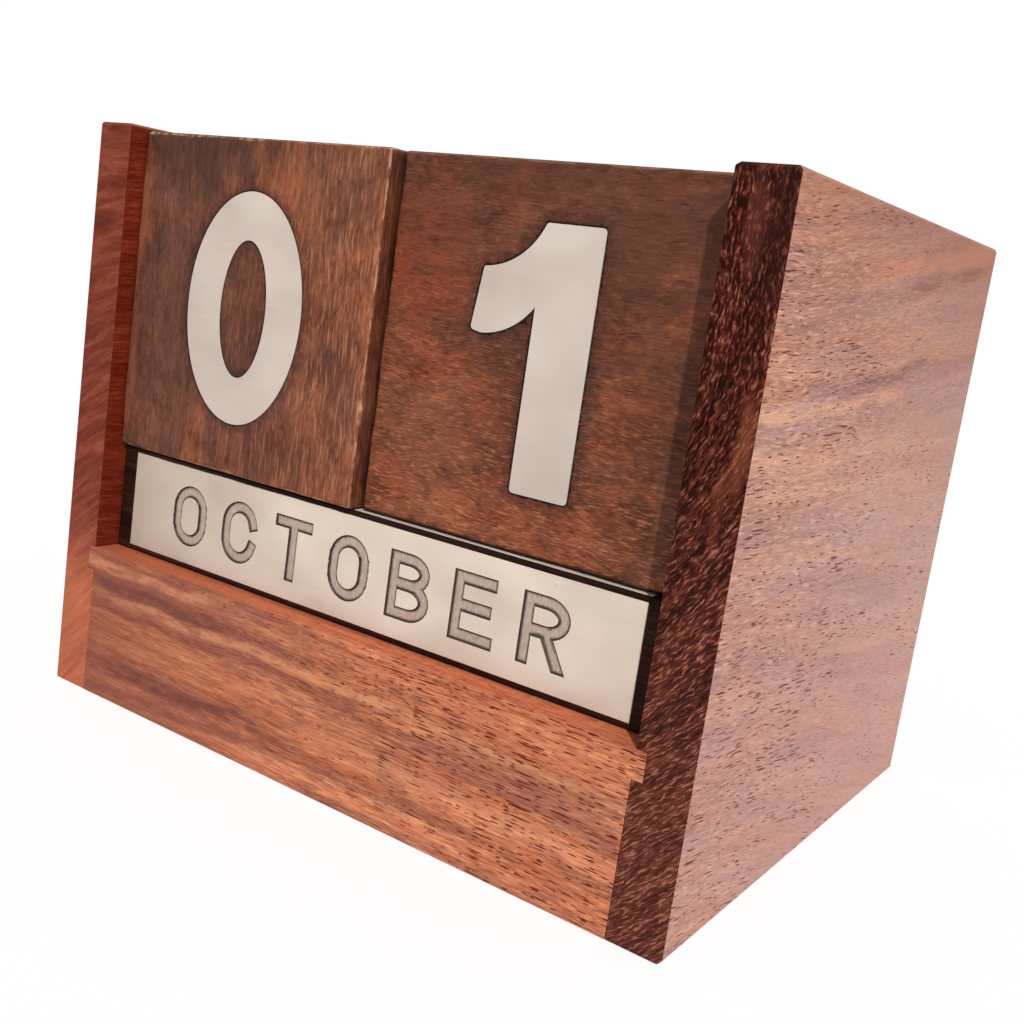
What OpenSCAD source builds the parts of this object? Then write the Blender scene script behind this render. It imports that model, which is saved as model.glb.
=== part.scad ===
// Perpetual desk calendar: a hardwood frame with two loose date blocks
// standing on three loose month bars. Each block has an inlaid metal digit
// on every face, and each bar has a metal month plate on its four long faces.
// Millimetres. X to the right, Y to the back, Z up. The origin is on the
// surface that the calendar stands on, below the middle of the frame.

/* [Date blocks] */
// Edge length of a date block
cube_edge = 54.8; // [45:0.1:70]
// Gap beside and between the date blocks
cube_gap = 0.35; // [0.2:0.05:1]
// How far the left block stands in front of the right one
left_block_lead = 2.7; // [0:0.1:4]
// Least distance of the left block behind the frame's front
block_recess = 3; // [1:0.1:8]
// Eased edge of a date block
cube_ease = 0.5; // [0.2:0.1:1.5]

/* [Digits] */
// Height of a digit
digit_h = 38; // [28:0.5:40]
// Width of a round digit
digit_w = 26; // [20:0.5:28]
// Stroke width of the digits
digit_stroke = 7.8; // [5:0.1:8]
// Radius of the digits' corners
digit_corner = 0.7; // [0.2:0.1:1.5]
// Width of the upright of the 1
one_stem = 9.6; // [6:0.1:12]
// Thickness of the inlaid digits
inlay_t = 1.2; // [0.6:0.1:2]
// Gap around an inlaid digit in its pocket
inlay_gap = 0.12; // [0.05:0.01:0.3]

/* [Month bars] */
// Side of a month bar's square section
bar_side = 18.5; // [16:0.1:24]
// Gap at each end of a month bar
bar_end_gap = 0.3; // [0.2:0.05:1]
// Gap between neighbouring bars, and behind the last one
bar_gap = 0.3; // [0.2:0.05:0.6]
// Distance of the front bar behind the frame's front
bar_recess = 4.6; // [2:0.1:8]
// Eased edge of a month bar
bar_ease = 0.25; // [0.1:0.05:0.6]

/* [Month plates] */
// Bar left bare at each end of a month plate
plate_end = 3.5; // [1:0.1:10]
// Bar left bare above and below a month plate
plate_rim = 0.8; // [0.4:0.1:2]
// Thickness of a month plate
plate_t = 0.5; // [0.3:0.05:0.8]
// Gap around a month plate in its recess
plate_gap = 0.1; // [0.05:0.01:0.3]

/* [Frame] */
// Thickness of the side panels
panel_t = 8.3; // [7:0.1:14]
// Height of the front rail, whose top is level with the floor board
rail_h = 27; // [20:0.1:40]
// Thickness of the front rail
rail_t = 8.5; // [6:0.1:14]
// Height of the side panels above the date blocks
panel_rise = 0.7; // [0:0.1:5]
// Thickness of the floor board
floor_t = 4.2; // [3:0.1:8]
// Thickness of the partition behind the date blocks
partition_t = 8; // [4:0.1:12]
// Width of the open bay between partition and back board
bay_d = 24.3; // [10:0.1:60]
// Thickness of the back board
back_t = 8.5; // [6:0.1:14]
// Depth of the grooves in the side panels
groove_d = 1.6; // [1:0.1:4]
// Eased outer edge of the frame
frame_ease = 0.5; // [0.2:0.1:2]
// Glue line left in each joint of the frame
glue_line = 0.05; // [0.02:0.01:0.1]
// Height at which a loose piece rests above what carries it
seat_gap = 0.3; // [0.1:0.05:0.5]

/* [Hidden] */
bar_count = 3;                              // four faces each, for twelve months

// The blocks and bars set the size of the frame around them. The well that
// they stand in is as deep as the row of bars or the blocks need.
inner_w = 2 * cube_edge + 3 * cube_gap;
bars_d = bar_count * (bar_side + bar_gap);
blocks_d = left_block_lead + cube_edge + cube_gap;
well_d = max(bar_recess + bars_d, block_recess + blocks_d);
body_d = well_d + partition_t + bay_d + back_t;
bar_z = rail_h + seat_gap;
cube_z = bar_z + bar_side + seat_gap;
body_h = cube_z + cube_edge + panel_rise;
front_y = -body_d / 2;
groove_h = floor_t + 2 * glue_line;
bar_l = inner_w - 2 * bar_end_gap;
plate_l = bar_l - 2 * plate_end;
plate_h = bar_side - 2 * plate_rim;
cut = 1;                                    // how far a cutter stands out of what it cuts
arc_step = 4;                               // degrees between points on a digit's curve
sharp_turn = 25;                            // degrees from which a turn of an outline is a corner
mitre_limit = 0.3;                          // keeps the mitre of a very sharp corner short

// The turns that bring the front face to each face: on a block to the front,
// right, back, left, top and bottom, and on a bar to the front, top, back and
// bottom.
BLOCK_FACES = [[0, 0, 0], [0, 0, 90], [0, 0, 180], [0, 0, 270], [-90, 0, 0], [90, 0, 0]];
BAR_FACES = [[0, 0, 0], [-90, 0, 0], [180, 0, 0], [90, 0, 0]];

// Digits in the order of BLOCK_FACES. With a 6 that also serves as a 9, the
// two blocks show every day from 01 to 31.
LEFT_DIGITS = [0, 1, 2, 3, 4, 5];
RIGHT_DIGITS = [1, 0, 2, 6, 7, 8];

// ---------------------------------------------------------------- outlines

// Points of an elliptical arc from angle a0 to a1, in the order of travel.
function arc(centre, rx, ry, a0, a1) =
    let(n = max(2, ceil(abs(a1 - a0) / arc_step)))
    [for (i = [0 : n]) let(a = a0 + (a1 - a0) * i / n) centre + [rx * cos(a), ry * sin(a)]];

function unit(v) = v / norm(v);
function left_of(v) = [-v[1], v[0]];

// Direction of travel at point i of an open path.
function heading(path, i) =
    unit(path[min(i + 1, len(path) - 1)] - path[max(i - 1, 0)]);

// Outline of a stroke of constant width along an open path.
function stroke(path, width) =
    let(last = len(path) - 1)
    concat(
        [for (i = [0 : last]) path[i] - left_of(heading(path, i)) * width / 2],
        [for (i = [last : -1 : 0]) path[i] + left_of(heading(path, i)) * width / 2]
    );

// Edges of a closed outline that arrive at point i and leave it.
function edge_to(p, i) = p[i] - p[(i + len(p) - 1) % len(p)];
function edge_from(p, i) = p[(i + 1) % len(p)] - p[i];

// An anticlockwise outline moved outwards by g all round, with mitred corners.
function grown(p, g) =
    [for (i = [0 : len(p) - 1])
        let(before = unit(edge_to(p, i)), after = unit(edge_from(p, i)),
            mitre = -left_of(unit(before + after)))
        p[i] + mitre * g / max(mitre_limit, -mitre * left_of(before))];

// An anticlockwise outline whose outer corners are rounded off. The flat turns
// of a curve and the inner corners stay.
function softened(p, r) =
    [for (i = [0 : len(p) - 1])
        let(before = edge_to(p, i), after = edge_from(p, i),
            turn = acos(max(-1, min(1, unit(before) * unit(after)))),
            reach = min(r * tan(turn / 2), norm(before) / 2.2, norm(after) / 2.2),
            start = p[i] - unit(before) * reach, end = p[i] + unit(after) * reach)
        each turn < sharp_turn || cross(before, after) < 0 ? [p[i]]
            : [for (t = [0 : 0.25 : 1]) start * pow(1 - t, 2) + p[i] * 2 * t * (1 - t) + end * pow(t, 2)]];

module ring(centre, rx, ry, g) {
    difference() {
        polygon(grown(arc(centre, rx + digit_stroke / 2, ry + digit_stroke / 2, 0, 360 - arc_step), g));
        polygon(grown(arc(centre, rx - digit_stroke / 2, ry - digit_stroke / 2, 0, 360 - arc_step), -g));
    }
}

module outline(points, g) {
    polygon(grown(softened(points, digit_corner), g));
}

module line(path, g) {
    outline(stroke(path, digit_stroke), g);
}

module rectangle(corner, size, g) {
    outline([corner, corner + [size[0], 0], corner + size, corner + [0, size[1]]], g);
}

// ------------------------------------------------------------------ digits
// Each digit is drawn about its own middle, in the block's front face.
// g widens it all round, for the pocket that it is let into.

digit_top = digit_h / 2;
mid_rx = (digit_w - digit_stroke) / 2;      // from a digit's middle to the middle of its side stroke
mid_top = (digit_h - digit_stroke) / 2;     // and to the middle of its top stroke
waist = digit_h * 0.016;                    // height of the waist of the 3 and 8
upper_rx = mid_rx * 0.86;                   // their upper and lower bowls
upper_ry = (mid_top - waist) / 2;
lower_ry = (mid_top + waist) / 2;
bowl_ry = mid_top * 0.56;                   // the bowl of the 5 and 6
bowl_angle = 155;                           // degrees from a bowl's right side round to its open end

module zero(g) {
    ring([0, 0], mid_rx, mid_top, g);
}

module one(g) {
    stem_r = one_stem * 0.9;                // the upright stands right of the middle
    stem_l = stem_r - one_stem;
    upper_r = digit_w * 0.42;               // the flag's upper edge
    lower_r = digit_w * 0.43;               // its lower edge, and that curve's middle
    lower_x = -digit_w * 0.39;
    flag_ry = digit_h * 0.29;               // how steeply both rise towards the upright
    flag_high = digit_top * 0.64;           // their heights at the flag's end
    flag_low = digit_top * 0.14;
    tip = [-digit_w * 0.44, digit_top * 0.16];
    end_angle = 87;                         // just short of the lowest point of each curve
    top_angle = asin((flag_high + flag_ry - digit_top) / flag_ry);      // where the flag meets the top
    stem_angle = acos((stem_l - lower_x) / lower_r);                    // and the upright
    outline(concat(
        [[stem_r, -digit_top], [stem_r, digit_top]],
        arc([-upper_r, flag_high + flag_ry], upper_r, flag_ry, -top_angle, -end_angle),
        [tip],
        arc([lower_x, flag_low + flag_ry], lower_r, flag_ry, -end_angle, -stem_angle),
        [[stem_l, -digit_top]]
    ), g);
}

module two(g) {
    round_ry = mid_rx * 0.98;
    open_angle = 168;                       // where the bowl starts
    slope_angle = -32;                      // and where it turns into the slope
    slope_foot = [-digit_w * 0.42, -digit_top - digit_stroke * 0.4];    // cut off below the base
    intersection() {
        union() {
            line(concat(
                arc([0, mid_top - round_ry], mid_rx, round_ry, open_angle, slope_angle), [slope_foot]
            ), g);
            rectangle([-digit_w / 2, -digit_top], [digit_w, digit_stroke], g);
        }
        rectangle([-digit_w / 2, -digit_top], [digit_w, digit_h], g);
    }
}

module three(g) {
    middle_bar = [-mid_rx / 3, waist];
    line(concat(arc([0, waist + upper_ry], upper_rx, upper_ry, bowl_angle, -90), [middle_bar]), g);
    line(concat([middle_bar], arc([0, waist - lower_ry], mid_rx, lower_ry, 90, -bowl_angle)), g);
}

module four(g) {
    stem_l = digit_w * 0.08;
    stem_r = stem_l + digit_stroke;
    slope_top = stem_l - digit_w * 0.05;    // where the slope meets the top
    bar_low = -digit_top * 0.56;
    bar_high = bar_low + digit_stroke * 0.9;
    left = -digit_w / 2;
    difference() {
        outline([[stem_l, -digit_top], [stem_r, -digit_top], [stem_r, bar_low], [-left, bar_low],
            [-left, bar_high], [stem_r, bar_high], [stem_r, digit_top], [slope_top, digit_top],
            [left, bar_high], [left, bar_low], [stem_l, bar_low]], g);
        outline([[stem_l, bar_high], [stem_l, digit_top * 0.46], [left * 0.42, bar_high]], -g);
    }
}

module five(g) {
    hidden_angle = 132;                     // where the bowl starts, behind the upright's foot
    left = -digit_w * 0.41;
    upright_low = -digit_top * 0.18;
    line(arc([0, -mid_top + bowl_ry], mid_rx, bowl_ry, hidden_angle, -bowl_angle), g);
    rectangle([left, upright_low], [digit_stroke, digit_top - upright_low], g);
    rectangle([left, digit_top - digit_stroke], [digit_w * 0.84, digit_stroke], g);
}

module six(g) {
    open_angle = 62;                        // where the long curve starts
    ring([0, -mid_top + bowl_ry], mid_rx, bowl_ry, g);
    line(concat(arc([0, 0], mid_rx, mid_top, open_angle, 180), [[-mid_rx, -mid_top + bowl_ry]]), g);
}

module seven(g) {
    left = -digit_w * 0.47;
    foot_l = -digit_w * 0.27;
    slope_w = digit_stroke * 1.14;          // width of the slope, level
    bar_low = digit_top - digit_stroke;
    heel = bar_low + digit_stroke * 0.13;   // where the slope leaves the bar's right end
    outline([[left, bar_low], [-left - slope_w, bar_low], [foot_l, -digit_top],
        [foot_l + slope_w, -digit_top], [-left, heel], [-left, digit_top], [left, digit_top]], g);
}

module eight(g) {
    ring([0, waist + upper_ry], upper_rx, upper_ry, g);
    ring([0, waist - lower_ry], mid_rx, lower_ry, g);
}

module digit_outline(n, g = 0) {
    if (n == 0) zero(g);
    if (n == 1) one(g);
    if (n == 2) two(g);
    if (n == 3) three(g);
    if (n == 4) four(g);
    if (n == 5) five(g);
    if (n == 6) six(g);
    if (n == 7) seven(g);
    if (n == 8) eight(g);
}

// ------------------------------------------------------------- date blocks

// Middle of a block on the left (side = -1) or right (side = 1), standing
// lead further forward than against the partition.
function block_middle(side, lead) = [
    side * (cube_edge + cube_gap) / 2,
    front_y + well_d - cube_gap - lead - cube_edge / 2,
    cube_z + cube_edge / 2
];

// A block with all twelve edges eased, centred on the origin.
module eased_block(size, ease) {
    intersection() {
        eased_prism(size, ease);
        rotate([90, 0, 0]) eased_prism([size[0], size[2], size[1]], ease);
        rotate([0, 90, 0]) eased_prism([size[2], size[1], size[0]], ease);
    }
}

// A prism along Z whose four long edges are eased.
module eased_prism(size, ease) {
    x = size[0] / 2;
    y = size[1] / 2;
    linear_extrude(size[2], center = true)
        polygon([[x - ease, -y], [x, -y + ease], [x, y - ease], [x - ease, y],
            [-x + ease, y], [-x, y - ease], [-x, -y + ease], [-x + ease, -y]]);
}

// The digit as a plate of the given thickness, its face in the block's face.
module digit_plate(n, thickness, g, proud = 0) {
    translate([0, -cube_edge / 2 + thickness, 0])
        rotate([90, 0, 0]) linear_extrude(thickness + proud) digit_outline(n, g);
}

module date_block(middle, digits) {
    color("#6f4030") translate(middle) difference() {
        eased_block([cube_edge, cube_edge, cube_edge], cube_ease);
        for (i = [0 : len(digits) - 1])
            rotate(BLOCK_FACES[i]) digit_plate(digits[i], inlay_t, inlay_gap, cut);
    }
}

// Digit n of a block, in the face that its place in the block's list gives.
module date_digit(middle, digits, n) {
    face = BLOCK_FACES[search(n, digits)[0]];
    color("#d3c6b8") translate(middle) rotate(face) digit_plate(n, inlay_t, 0);
}

left_middle = block_middle(-1, left_block_lead);
right_middle = block_middle(1, 0);

module left_date_block() {
    date_block(left_middle, LEFT_DIGITS);
}

module right_date_block() {
    date_block(right_middle, RIGHT_DIGITS);
}

module left_digit(n) {
    date_digit(left_middle, LEFT_DIGITS, n);
}

module right_digit(n) {
    date_digit(right_middle, RIGHT_DIGITS, n);
}

// -------------------------------------------------------------- month bars

// Middle of bar i, counted from the front.
function bar_middle(i) =
    [0, front_y + bar_recess + i * (bar_side + bar_gap) + bar_side / 2, bar_z + bar_side / 2];

module month_bar(i) {
    color("#2b1a15") translate(bar_middle(i)) difference() {
        eased_block([bar_l, bar_side, bar_side], bar_ease);
        for (face = BAR_FACES)
            rotate(face) plate_solid(plate_l + 2 * plate_gap, plate_h + 2 * plate_gap, plate_t, cut);
    }
}

// A plate in the front face of a bar.
module plate_solid(l, h, t, proud = 0) {
    translate([-l / 2, -bar_side / 2 - proud, -h / 2]) cube([l, t + proud, h]);
}

// The plates are numbered from 1, four to a bar.
module month_plate(number) {
    i = floor((number - 1) / len(BAR_FACES));
    face = BAR_FACES[(number - 1) % len(BAR_FACES)];
    color("#cdbfae") translate(bar_middle(i)) rotate(face) plate_solid(plate_l, plate_h, plate_t);
}

// ------------------------------------------------------------------- frame

// The right-hand side panel: the outer edges are eased, and its inner face is
// grooved for the floor board, the partition and the back board.
module side_panel() {
    inner = inner_w / 2;
    outer = inner + panel_t;
    difference() {
        intersection() {
            // front view
            translate([0, -front_y, 0]) rotate([90, 0, 0]) linear_extrude(body_d)
                polygon([[inner, 0], [outer - frame_ease, 0], [outer, frame_ease],
                    [outer, body_h - frame_ease], [outer - frame_ease, body_h],
                    [inner + frame_ease, body_h], [inner, body_h - frame_ease]]);
            // plan
            linear_extrude(body_h)
                polygon([[inner, front_y], [outer - frame_ease, front_y], [outer, front_y + frame_ease],
                    [outer, -front_y - frame_ease], [outer - frame_ease, -front_y], [inner, -front_y]]);
            // side view
            translate([inner - cut, 0, 0]) rotate([90, 0, 90]) linear_extrude(panel_t + 2 * cut)
                polygon([[front_y, 0], [-front_y, 0], [-front_y, body_h - frame_ease],
                    [-front_y - frame_ease, body_h], [front_y + frame_ease, body_h],
                    [front_y, body_h - frame_ease]]);
        }
        // groove for the floor board, which the rail's tongue fills at the front
        translate([inner - cut, front_y - cut, rail_h - floor_t - glue_line])
            cube([groove_d + glue_line + cut, body_d + 2 * cut, groove_h]);
        // groove for the partition, open at the top
        translate([inner - cut, front_y + well_d - glue_line, rail_h])
            cube([groove_d + glue_line + cut, partition_t + 2 * glue_line, body_h]);
        // rebate for the back board
        translate([inner - cut, -front_y - back_t - glue_line, -cut])
            cube([groove_d + glue_line + cut, back_t + glue_line + cut, body_h + 2 * cut]);
    }
}

module left_side_panel() {
    color("#a35a3e") mirror([1, 0, 0]) side_panel();
}

module right_side_panel() {
    color("#b5755a") side_panel();
}

module front_rail() {
    w = inner_w - 2 * glue_line;
    tongued_w = inner_w + 2 * groove_d;
    color("#b8714c") union() {
        translate([-w / 2, front_y, 0]) cube([w, rail_t, rail_h]);
        translate([-tongued_w / 2, front_y, rail_h - floor_t]) cube([tongued_w, rail_t, floor_t]);
    }
}

module floor_board() {
    w = inner_w + 2 * groove_d;
    y = front_y + rail_t + glue_line;
    color("#8f5238") translate([-w / 2, y, rail_h - floor_t])
        cube([w, -front_y - back_t - glue_line - y, floor_t]);
}

module partition_board() {
    w = inner_w + 2 * groove_d;
    color("#9a5a3f") translate([-w / 2, front_y + well_d, rail_h + glue_line])
        eased_top_board(w, partition_t, body_h - rail_h - glue_line);
}

module back_board() {
    w = inner_w + 2 * groove_d;
    color("#a8644a") translate([-w / 2, -front_y - back_t, 0]) eased_top_board(w, back_t, body_h);
}

// An upright board whose two long top edges are eased.
module eased_top_board(w, t, h) {
    rotate([90, 0, 90]) linear_extrude(w)
        polygon([[0, 0], [t, 0], [t, h - frame_ease], [t - frame_ease, h], [frame_ease, h],
            [0, h - frame_ease]]);
}

left_side_panel();
right_side_panel();
front_rail();
floor_board();
partition_board();
back_board();
left_date_block();
left_digit(0);  // left_digit_0
left_digit(1);  // left_digit_1
left_digit(2);  // left_digit_2
left_digit(3);  // left_digit_3
left_digit(4);  // left_digit_4
left_digit(5);  // left_digit_5
right_date_block();
right_digit(0);  // right_digit_0
right_digit(1);  // right_digit_1
right_digit(2);  // right_digit_2
right_digit(6);  // right_digit_6
right_digit(7);  // right_digit_7
right_digit(8);  // right_digit_8
month_bar(0);  // front_month_bar
month_bar(1);  // middle_month_bar
month_bar(2);  // rear_month_bar
month_plate(1);  // month_plate_01
month_plate(2);  // month_plate_02
month_plate(3);  // month_plate_03
month_plate(4);  // month_plate_04
month_plate(5);  // month_plate_05
month_plate(6);  // month_plate_06
month_plate(7);  // month_plate_07
month_plate(8);  // month_plate_08
month_plate(9);  // month_plate_09
month_plate(10);  // month_plate_10
month_plate(11);  // month_plate_11
month_plate(12);  // month_plate_12
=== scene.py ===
"""Looks of a perpetual desk calendar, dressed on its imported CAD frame.

Named lengths are in millimetres and angles in degrees, unless a comment says otherwise.
Meshes and materials work in metres. Colours are written as 8-bit screen values and turned
into linear ones where a material uses them.
"""

import math

import bmesh
import bpy
import numpy as np
from mathutils import Matrix, Vector, noise
from mathutils.geometry import delaunay_2d_cdt


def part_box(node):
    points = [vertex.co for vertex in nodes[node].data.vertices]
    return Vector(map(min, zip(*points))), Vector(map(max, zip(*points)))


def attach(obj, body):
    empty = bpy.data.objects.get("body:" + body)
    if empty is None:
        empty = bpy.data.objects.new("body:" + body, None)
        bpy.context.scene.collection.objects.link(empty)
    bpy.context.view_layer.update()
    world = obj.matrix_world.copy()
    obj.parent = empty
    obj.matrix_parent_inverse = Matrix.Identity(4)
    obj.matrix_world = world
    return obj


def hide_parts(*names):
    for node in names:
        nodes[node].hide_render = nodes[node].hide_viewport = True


MM = 0.001
AXES = {"x": 0, "y": 1, "z": 2}

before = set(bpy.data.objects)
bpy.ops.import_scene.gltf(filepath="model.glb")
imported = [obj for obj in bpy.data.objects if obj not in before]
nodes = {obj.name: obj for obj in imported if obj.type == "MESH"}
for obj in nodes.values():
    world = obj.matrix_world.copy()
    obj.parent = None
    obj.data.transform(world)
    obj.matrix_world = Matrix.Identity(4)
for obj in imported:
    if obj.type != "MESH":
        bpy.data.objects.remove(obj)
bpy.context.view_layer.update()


# ------ node trees

SEED_SHIFT = (0.31, 0.17, 0.23)  # how far a seed moves a pattern, in metres
DASH_EDGE = 0.03  # softness of a dash's edge, as a share of its cell


def linear(colour):
    """Linear RGBA of an 8-bit screen colour."""
    parts = [c / 255 for c in colour]
    return [c / 12.92 if c <= 0.04045 else ((c + 0.055) / 1.055) ** 2.4 for c in parts] + [1.0]


class Tree:
    """The node tree of a material or world. Most methods add one node and return its output."""

    def __init__(self, owner):
        owner.use_nodes = True
        self.tree = owner.node_tree

    def node(self, kind, inputs=(), **settings):
        """Adds a node. Its inputs are values in their order, or a dict of them by socket."""
        made = self.tree.nodes.new("ShaderNode" + kind)
        for name, value in settings.items():
            setattr(made, name, value)
        named = inputs if isinstance(inputs, dict) else dict(enumerate(inputs))
        for socket, value in named.items():
            self.feed(made.inputs[socket], value)
        return made

    def feed(self, socket, value):
        """Links an output to a socket, or sets the socket to a plain value."""
        if isinstance(value, bpy.types.NodeSocket):
            self.tree.links.new(value, socket)
        else:
            socket.default_value = value

    def maths(self, operation, a, b=0.0):
        return self.node("Math", [a, b], operation=operation).outputs[0]

    def plus(self, a, b):
        return self.maths("ADD", a, b)

    def minus(self, a, b):
        return self.maths("SUBTRACT", a, b)

    def times(self, a, b):
        return self.maths("MULTIPLY", a, b)

    def largest(self, *values):
        most = values[0]
        for value in values[1:]:
            most = self.maths("MAXIMUM", most, value)
        return most

    def spread(self, value, low, high, to_low=0.0, to_high=1.0, soft=False):
        """Maps low..high to to_low..to_high, and clamps."""
        kind = "SMOOTHSTEP" if soft else "LINEAR"
        sockets = [value, low, high, to_low, to_high]
        return self.node("MapRange", sockets, interpolation_type=kind).outputs[0]


class Finish(Tree):
    """A wood or metal material, whose patterns are drawn out along its grain.

    Its colour is built up step by step in self.colour."""

    def __init__(self, name, grain, seed, **surface):
        self.material = bpy.data.materials.new(name)
        super().__init__(self.material)
        self.surface = self.tree.nodes["Principled BSDF"]
        coords = self.node("TexCoord")
        self.place = coords.outputs["Object"]
        self.normal = coords.outputs["Normal"]
        self.axis = AXES[grain]
        self.seed = seed
        for socket, value in surface.items():
            self.drive(socket.replace("_", " "), value)

    def drive(self, socket, value):
        """Feeds a socket of the surface shader."""
        self.feed(self.surface.inputs[socket], value)

    def parts(self, vector):
        """X, Y and Z of a vector."""
        return self.node("SeparateXYZ", [vector]).outputs

    def joined(self, x, y, z):
        return self.node("CombineXYZ", [x, y, z]).outputs[0]

    def zone(self, value, start, end, to_start=0.0, to_end=1.0):
        """Mask that goes from 0 at one place to 1 at another, both in mm."""
        return self.spread(value, start * MM, end * MM, to_start, to_end)

    def mix(self, share, a, b):
        return self.node("Mix", {0: share, 6: a, 7: b}, data_type="RGBA").outputs[2]

    def tint(self, mask, share, tone):
        """Mixes a share of a screen colour into the colour where the mask is set."""
        self.colour = self.mix(self.times(mask, share), self.colour, linear(tone))

    def ramp(self, value, tones):
        """Colour ramp with evenly spaced screen colours, from dark to light."""
        made = self.node("ValToRGB", [value])
        stops = made.color_ramp.elements
        while len(stops) < len(tones):
            stops.new(0.5)
        for i, tone in enumerate(tones):
            stops[i].position = i / (len(tones) - 1)
            stops[i].color = linear(tone)
        return made.outputs[0]

    def drawn(self, vector, size, shift=(0, 0, 0)):
        """Coordinates that draw a pattern out to a size in mm along X, Y and Z."""
        sockets = {"Vector": vector, "Location": shift, "Scale": [s * MM for s in size]}
        return self.node("Mapping", sockets, vector_type="TEXTURE").outputs[0]

    def stretched(self, along, across, seed=0.0):
        """Coordinates that draw a pattern out to a size in mm along and across the grain."""
        size = [across] * 3
        size[self.axis] = along
        return self.drawn(self.place, size, [rate * (self.seed + seed) for rate in SEED_SHIFT])

    def noise(self, vector, detail=2.0, rough=0.5, warp=0.0):
        sockets = {"Vector": vector, "Scale": 1, "Detail": detail, "Roughness": rough, "Distortion": warp}
        return self.node("TexNoise", sockets).outputs[0]

    def grain(self, along, across, seed=0.0, detail=2.0, rough=0.5, warp=0.0):
        """Noise drawn out to a size in mm along and across the grain."""
        return self.noise(self.stretched(along, across, seed), detail, rough, warp)

    def edge_grain(self, flow, wide, high, seed=0.0, detail=2.0, rough=0.5, warp=0.0):
        """Noise on an edge, drawn out along some coordinates and hardly changing along Y."""
        place = self.drawn(flow, (wide, ALONG_EDGE, high), (seed, 0, seed))
        return self.noise(place, detail, rough, warp)

    def blend_of(self, values, shares):
        """Sum of values, each times its share."""
        total = self.times(values[0], shares[0])
        for value, share in zip(values[1:], shares[1:]):
            total = self.plus(total, self.times(value, share))
        return total

    def dashes(self, vector, radius, spare=0.0, thin=None):
        """Mask of short dashes, one in a cell, whose sizes vary up to the radius given.

        spare is the share of the cells that stay empty."""
        cells = self.node("TexVoronoi", {"Vector": vector, "Scale": 1})
        chance = self.node("SeparateColor", [cells.outputs["Color"]]).outputs[0]
        if thin:
            chance = self.times(chance, thin)
        size = self.times(self.spread(chance, spare, 1.0), radius)
        over = self.minus(size, cells.outputs["Distance"])
        return self.spread(over, -DASH_EDGE, DASH_EDGE)

    def ripple(self, amount, size):
        """Moves the coordinates about by up to an amount in mm, over a size in mm."""
        sockets = {"Vector": self.place, "Scale": 1 / (size * MM), "Detail": 1}
        sockets = [self.node("TexNoise", sockets).outputs["Color"], (0.5, 0.5, 0.5)]
        wander = self.node("VectorMath", sockets, operation="SUBTRACT").outputs[0]
        sockets = [wander, [2 * amount * MM] * 3, self.place]
        self.place = self.node("VectorMath", sockets, operation="MULTIPLY_ADD").outputs[0]

    def fan(self, rate, height):
        """Spreads the grain lines like a fan towards the front, from a height in mm."""
        x, y, z = self.parts(self.place)
        narrow = self.minus(1.0, self.times(self.plus(y, FAN_START * MM), rate))
        z = self.plus(self.times(self.minus(z, height * MM), narrow), height * MM)
        self.place = self.joined(x, y, z)

    def tint_spots(self, x, z, spots):
        """Tints soft ragged spots, each (centre, radii, share, tone) in mm, seen from the front."""
        for centre, radii, share, tone in spots:
            right = self.times(self.minus(x, centre[0] * MM), 1 / (radii[0] * MM))
            up = self.times(self.minus(z, centre[1] * MM), 1 / (radii[1] * MM))
            away = self.plus(self.times(right, right), self.times(up, up))
            edge = self.grain(5, 4, centre[0], 4, 0.65)
            away = self.plus(away, self.spread(edge, 0.25, 0.75, -0.6, 0.6))
            self.tint(self.spread(away, 1.2, 0.1), share, tone)

    def finished(self, rough, height, strength, depth):
        """The material, with its colour, its roughness and a relief up to a depth in mm."""
        sockets = {"Strength": strength, "Distance": depth * MM, "Height": height}
        self.drive("Normal", self.node("Bump", sockets).outputs[0])
        self.drive("Base Color", self.colour)
        self.drive("Roughness", rough)
        return self.material

    def crevice(self, reach):
        """Mask of places within a reach in mm of other surfaces, as in a gap, for painting shade there.
        """
        open_sky = self.node("AmbientOcclusion", {"Distance": reach * MM}, samples=6)
        return self.spread(open_sky.outputs["AO"], 0.66, 0.34)

    def faces(self, axis, way=0, low=0.6, high=0.85):
        """Mask of the faces that look along an axis, or one way along it."""
        value = self.parts(self.normal)[AXES[axis]]
        value = self.times(value, way) if way else self.maths("ABSOLUTE", value)
        return self.spread(value, low, high)


# ------ wood

FAN_START = 50  # how far the panels' front lies from the middle
PANEL_WARM = [(128, 75, 56), (155, 98, 74), (177, 120, 93), (194, 139, 109), (211, 158, 124)]
PANEL_COOL = [(114, 79, 74), (138, 98, 92), (159, 118, 110), (177, 135, 125), (192, 151, 139)]
RAIL_WARM = [(126, 63, 42), (155, 85, 57), (183, 108, 76), (204, 132, 92), (226, 160, 116)]
RAIL_COOL = [(102, 54, 44), (125, 71, 57), (147, 90, 70), (166, 106, 83), (184, 125, 99)]
END_TONES = [(14, 0, 0), (40, 8, 3), (72, 29, 19), (106, 56, 42), (144, 90, 70)]
END_WARM = (144, 78, 50)
END_PALE = (150, 110, 100)
END_BEND_TOP = 85  # height to which the end grain's strands bend
END_BEND = 46  # how much they bend, per square metre
ALONG_EDGE = 50  # size of an edge's pattern along Y
EDGE_SPOTS = [
    ((59.3, 95), (1.7, 8), 0.3, (112, 62, 52)),
    ((62.4, 94), (2.0, 13), 0.6, (38, 14, 12)),
    ((62.4, 68), (1.2, 7), 0.35, (146, 80, 52)),
    ((60.6, 60), (1.1, 5), 0.25, (136, 74, 50)),
]
LEFT_EDGE_MIDDLE = 59.5
LEFT_EDGE_TONES = [(84, 32, 20), (106, 46, 30), (128, 62, 44), (158, 84, 60), (188, 110, 80)]
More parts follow.
